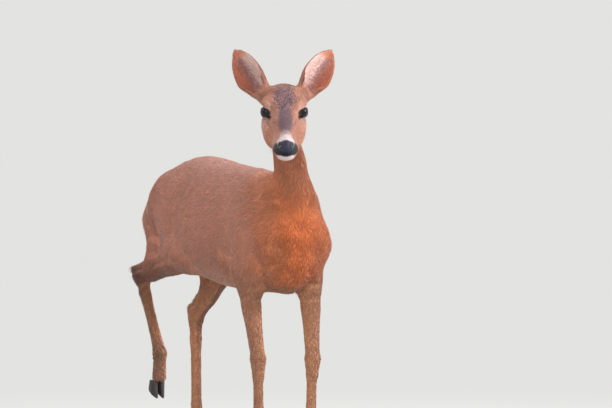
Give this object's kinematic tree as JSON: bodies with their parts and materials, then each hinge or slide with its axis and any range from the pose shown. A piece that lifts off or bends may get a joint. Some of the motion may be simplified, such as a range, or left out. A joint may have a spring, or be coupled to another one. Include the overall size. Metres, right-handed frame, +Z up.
{
  "type": "roe deer",
  "caption": "Life-size museum model of a roe doe standing mid-step, head turned to the side, ears pricked, on small hooves.",
  "frame": {"origin": "on the floor, under the middle of the whole animal's bounding box", "axes": "the deer faces -Y, its left side is towards +X, and +Z is up"},
  "size_m": [0.2664, 0.871, 0.9294],
  "materials": {
    "coat": "short smooth red-brown summer coat, matt with a soft sheen along the back",
    "horn": "dark horn of hooves and dewclaws, dull with fine growth lines",
    "eye": "wet dark brown eye with a clear highlight"
  },
  "bodies": {
    "root": {"trunk": "coat", "neck": "coat", "head": "coat", "tail": "coat", "ear_left": "coat", "ear_right": "coat", "eye_left": "eye", "eye_right": "eye", "forearm_fore_left": "coat", "forearm_fore_right": "coat", "cannon_fore_left": "coat", "cannon_fore_right": "coat", "haunch_hind_left": "coat", "haunch_hind_right": "coat", "cannon_hind_left": "coat", "cannon_hind_right": "coat", "hoof_fore_left_outer": "horn", "hoof_fore_left_inner": "horn", "hoof_fore_right_outer": "horn", "hoof_fore_right_inner": "horn", "hoof_hind_left_outer": "horn", "hoof_hind_left_inner": "horn", "hoof_hind_right_outer": "horn", "hoof_hind_right_inner": "horn", "dewclaw_fore_left_outer": "horn", "dewclaw_fore_left_inner": "horn", "dewclaw_fore_right_outer": "horn", "dewclaw_fore_right_inner": "horn", "dewclaw_hind_left_outer": "horn", "dewclaw_hind_left_inner": "horn", "dewclaw_hind_right_outer": "horn", "dewclaw_hind_right_inner": "horn"}
  },
  "joints": []
}
